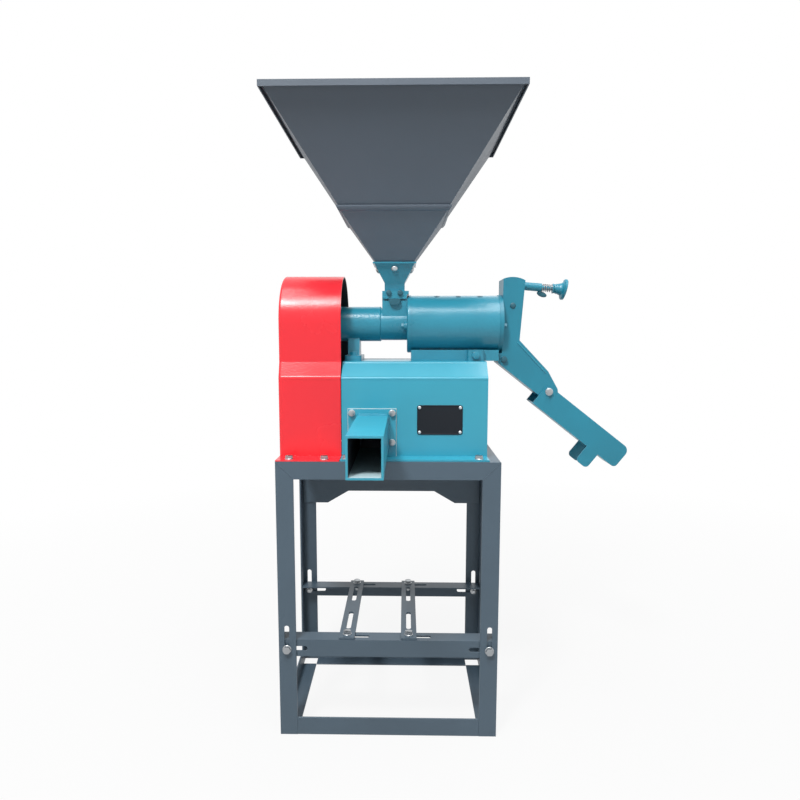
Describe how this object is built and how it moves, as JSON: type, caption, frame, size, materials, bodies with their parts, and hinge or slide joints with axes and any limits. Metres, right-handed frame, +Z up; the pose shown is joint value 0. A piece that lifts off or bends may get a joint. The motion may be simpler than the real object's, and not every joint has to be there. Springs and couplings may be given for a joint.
{
  "type": "rice huller on a motor stand",
  "caption": "Small roller rice mill on an open angle stand: square feed hopper over a milling drum, guarded belt side, blower duct, hinged outlet chute and a slotted motor tray.",
  "frame": {"origin": "on the floor, under the middle of the machine's overall box", "axes": "+Z up; the shaft lies along X with the belt guard at -X and the outlet chute at +X; the front, where the duct points, faces -Y"},
  "size_m": [0.6582, 0.5616, 1.134],
  "materials": {
    "stand_paint": "satin",
    "teal_paint": "satin",
    "red_paint": "gloss",
    "hopper_paint": "satin",
    "zinc_steel": "satin",
    "black_plate": "satin",
    "shaft_steel": "satin",
    "spring_steel": "satin",
    "cast_iron": "matte",
    "sheet_steel": "satin",
    "belt_rubber": "matte"
  },
  "bodies": {
    "machine": {"stand_legs": "stand_paint", "top_rails_long": "stand_paint", "top_rails_short": "stand_paint", "foot_rails_long": "stand_paint", "foot_rails_short": "stand_paint", "rear_apron": "stand_paint", "base_housing": "teal_paint", "discharge_duct": "teal_paint", "bearing_housing": "teal_paint", "bearing_cap": "teal_paint", "feed_chamber": "teal_paint", "hopper_seat": "teal_paint", "drum_cover": "teal_paint", "drum_saddle": "teal_paint", "saddle_bolts": "teal_paint", "pedestal_bolts": "teal_paint", "outlet_end_plate": "teal_paint", "drum_flange_bolts": "teal_paint", "outlet_housing": "teal_paint", "belt_guard": "red_paint", "hopper_lower": "hopper_paint", "hopper_upper": "hopper_paint", "deck_fasteners": "zinc_steel", "duct_bolts": "zinc_steel", "hopper_bolts": "zinc_steel", "nameplate_rivets": "zinc_steel", "tie_bolt": "zinc_steel", "flap_pin": "zinc_steel", "chute_pivot_bolts": "zinc_steel", "carrier_screws": "zinc_steel", "nameplate": "black_plate", "knife_screws": "black_plate", "main_bearings": "shaft_steel", "fan_bearings": "shaft_steel", "rice_knife": "shaft_steel", "milling_screen": "shaft_steel", "pressure_spring": "spring_steel", "fan_carrier": "cast_iron", "fan_casing": "sheet_steel", "fan_belt": "belt_rubber"},
    "rotor": {"main_shaft": "shaft_steel", "shaft_nuts": "shaft_steel", "main_pulley": "cast_iron", "feed_screw": "cast_iron", "milling_roller": "cast_iron"},
    "fan": {"fan_shaft": "shaft_steel", "fan_wheel": "sheet_steel", "fan_pulley": "cast_iron"},
    "gate": {"feed_gate": "zinc_steel"},
    "flap": {"pressure_flap": "cast_iron"},
    "rod": {"pull_rod": "shaft_steel"},
    "cup": {"spring_cup": "shaft_steel"},
    "knob": {"pressure_knob": "cast_iron"},
    "chute": {"lower_chute": "teal_paint"},
    "tray": {"tray_rails": "stand_paint", "tray_fasteners": "zinc_steel"},
    "left_strap": {"strap_left": "stand_paint", "strap_bolts_left": "zinc_steel"},
    "right_strap": {"strap_right": "stand_paint", "strap_bolts_right": "zinc_steel"}
  },
  "joints": [
    {"name": "rotor_spin", "type": "hinge", "parent": "machine", "child": "rotor", "pos_m": [-0.1276, 0.06925, 0.76], "axis": [1, 0, 0], "continuous": true},
    {"name": "fan_spin", "type": "hinge", "parent": "machine", "child": "fan", "pos_m": [-0.1276, 0.09125, 0.605], "axis": [1, 0, 0], "continuous": true},
    {"name": "gate_slide", "type": "slide", "parent": "machine", "child": "gate", "axis": [0, -1, 0], "range_m": [0, 0.04]},
    {"name": "flap_swing", "type": "hinge", "parent": "machine", "child": "flap", "pos_m": [0.105, 0.06925, 0.7938], "axis": [0, -1, 0], "range_deg": [0, 10], "stiffness_Nm_per_rad": 3, "springref_deg": -5.73},
    {"name": "rod_pull", "type": "slide", "parent": "machine", "child": "rod", "axis": [0.9962, 0, -0.0872], "range_m": [-0.0075, 0.0003], "deforming": ["pressure_spring"]},
    {"name": "cup_slide", "type": "slide", "parent": "rod", "child": "cup", "axis": [-0.9962, 0, 0.0872], "range_m": [0, 0.005], "deforming": ["pressure_spring"]},
    {"name": "knob_turn", "type": "hinge", "parent": "cup", "child": "knob", "pos_m": [0.19673, 0.06925, 0.8262], "axis": [-0.9962, 0, 0.0872], "range_deg": [0, 1450]},
    {"name": "chute_tilt", "type": "hinge", "parent": "machine", "child": "chute", "pos_m": [0.1768, 0.06925, 0.6316], "axis": [0, -1, 0], "range_deg": [-20, 35]},
    {"name": "tray_lift", "type": "slide", "parent": "machine", "child": "tray", "axis": [0, 0, 1], "range_m": [0, 0.038]},
    {"name": "left_strap_slide", "type": "slide", "parent": "tray", "child": "left_strap", "axis": [1, 0, 0], "range_m": [0, 0.035]},
    {"name": "right_strap_slide", "type": "slide", "parent": "tray", "child": "right_strap", "axis": [1, 0, 0], "range_m": [0, 0.035]}
  ],
  "couplings": [
    {"joint": "fan_spin", "follows": "rotor_spin", "ratio": 2.2188},
    {"joint": "rod_pull", "follows": "flap_swing", "m_per_rad": -0.0403},
    {"joint": "knob_turn", "follows": "cup_slide", "rad_per_m": 5026.5}
  ]
}
